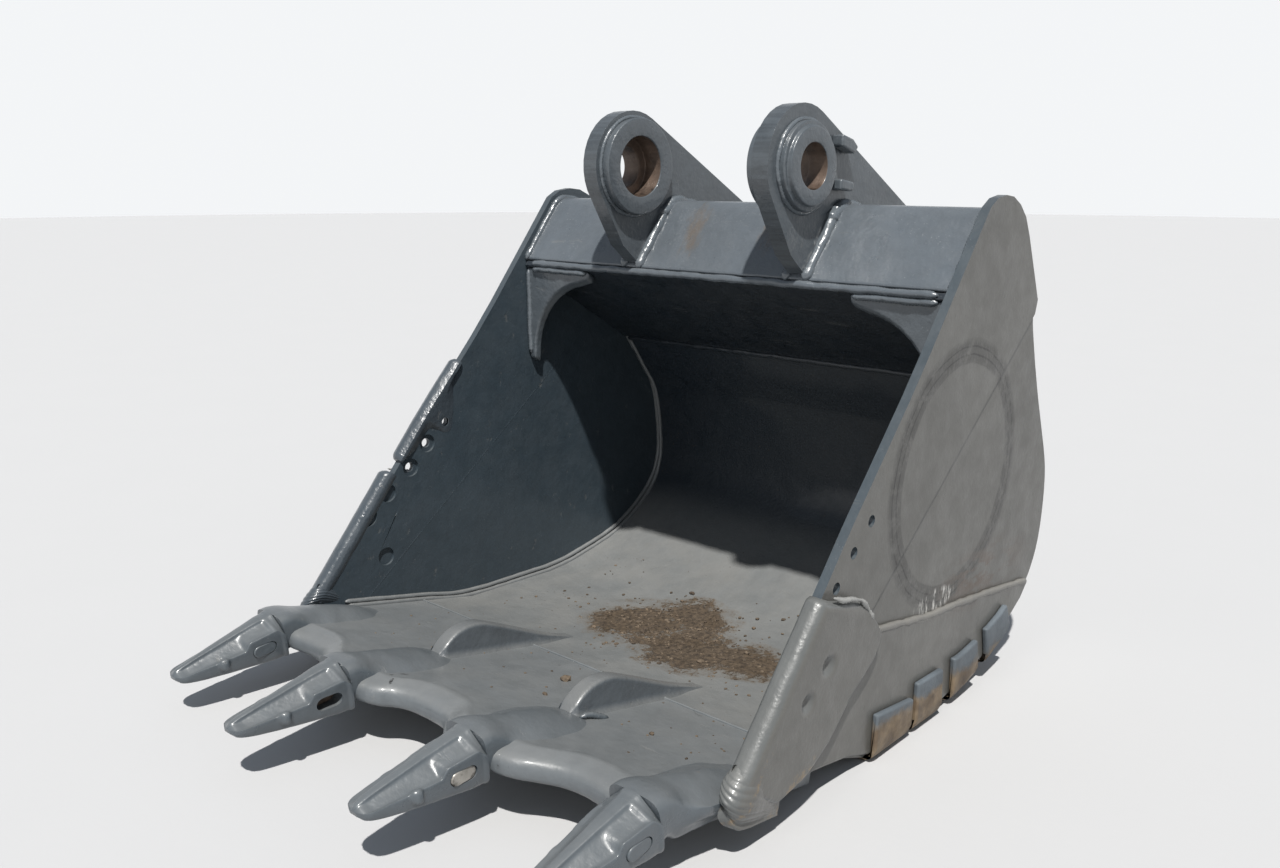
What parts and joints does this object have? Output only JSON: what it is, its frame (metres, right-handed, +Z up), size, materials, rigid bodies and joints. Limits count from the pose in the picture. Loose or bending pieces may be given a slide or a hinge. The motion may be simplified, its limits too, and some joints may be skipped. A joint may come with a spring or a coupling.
{
  "type": "excavator bucket",
  "caption": "Welded steel digging bucket with a curved bowl, toothed cutting edge, side shrouds and twin hanger ears with pin hubs.",
  "frame": {"origin": "on the underside, on the middle plane, at the middle of the flat stretch that the bucket rests on", "axes": "+X across the mouth, -Y out of the mouth along the teeth, +Z up with the bucket resting on its flat underside"},
  "size_m": [1.3476, 1.7005, 1.284],
  "materials": {
    "shell_paint": "semi-gloss grey-blue enamel, dusty and scuffed",
    "inner_paint": "semi-gloss dark grey-blue enamel",
    "hanger_paint": "glossy grey-blue enamel with rust streaks",
    "casting_paint": "glossy grey-blue enamel over a cast skin",
    "rusted_steel": "worn paint with brown rust",
    "bare_steel": "bare, lightly rusted steel"
  },
  "bodies": {
    "root": {"wrap_plate": "shell_paint", "outer_back_plate": "shell_paint", "side_plate_left": "shell_paint", "side_plate_right": "shell_paint", "side_bar_left": "shell_paint", "side_bar_right": "shell_paint", "side_wear_plate_left": "shell_paint", "side_wear_plate_right": "shell_paint", "corner_gusset_left": "shell_paint", "corner_gusset_right": "shell_paint", "cutting_edge": "shell_paint", "floor_rib_left": "shell_paint", "floor_rib_right": "shell_paint", "inner_back_plate": "inner_paint", "tube_diaphragm_left": "inner_paint", "tube_diaphragm_right": "inner_paint", "torque_tube": "hanger_paint", "ear_left": "hanger_paint", "ear_right": "hanger_paint", "front_hub_left": "hanger_paint", "front_hub_right": "hanger_paint", "pin_keeper_block_upper": "hanger_paint", "pin_keeper_block_lower": "hanger_paint", "side_shroud_left": "casting_paint", "side_shroud_right": "casting_paint", "edge_protector_left": "casting_paint", "tooth_adapter_left_corner": "casting_paint", "tooth_adapter_left_centre": "casting_paint", "tooth_adapter_right_corner": "casting_paint", "tooth_adapter_right_centre": "casting_paint", "tooth_tip_left_corner": "casting_paint", "tooth_tip_left_centre": "casting_paint", "tooth_tip_right_corner": "casting_paint", "tooth_tip_right_centre": "casting_paint", "rear_hub_left": "rusted_steel", "rear_hub_right": "rusted_steel", "bottom_wear_strip_left": "rusted_steel", "bottom_wear_strip_centre": "rusted_steel", "bottom_wear_strip_right": "rusted_steel", "heel_shroud_left_1": "rusted_steel", "heel_shroud_left_2": "rusted_steel", "heel_shroud_left_3": "rusted_steel", "heel_shroud_left_4": "rusted_steel", "heel_shroud_right_1": "rusted_steel", "heel_shroud_right_2": "rusted_steel", "heel_shroud_right_3": "rusted_steel", "heel_shroud_right_4": "rusted_steel", "tooth_pin_left_corner": "bare_steel", "tooth_pin_left_centre": "bare_steel", "tooth_pin_right_corner": "bare_steel", "tooth_pin_right_centre": "bare_steel"}
  },
  "joints": []
}
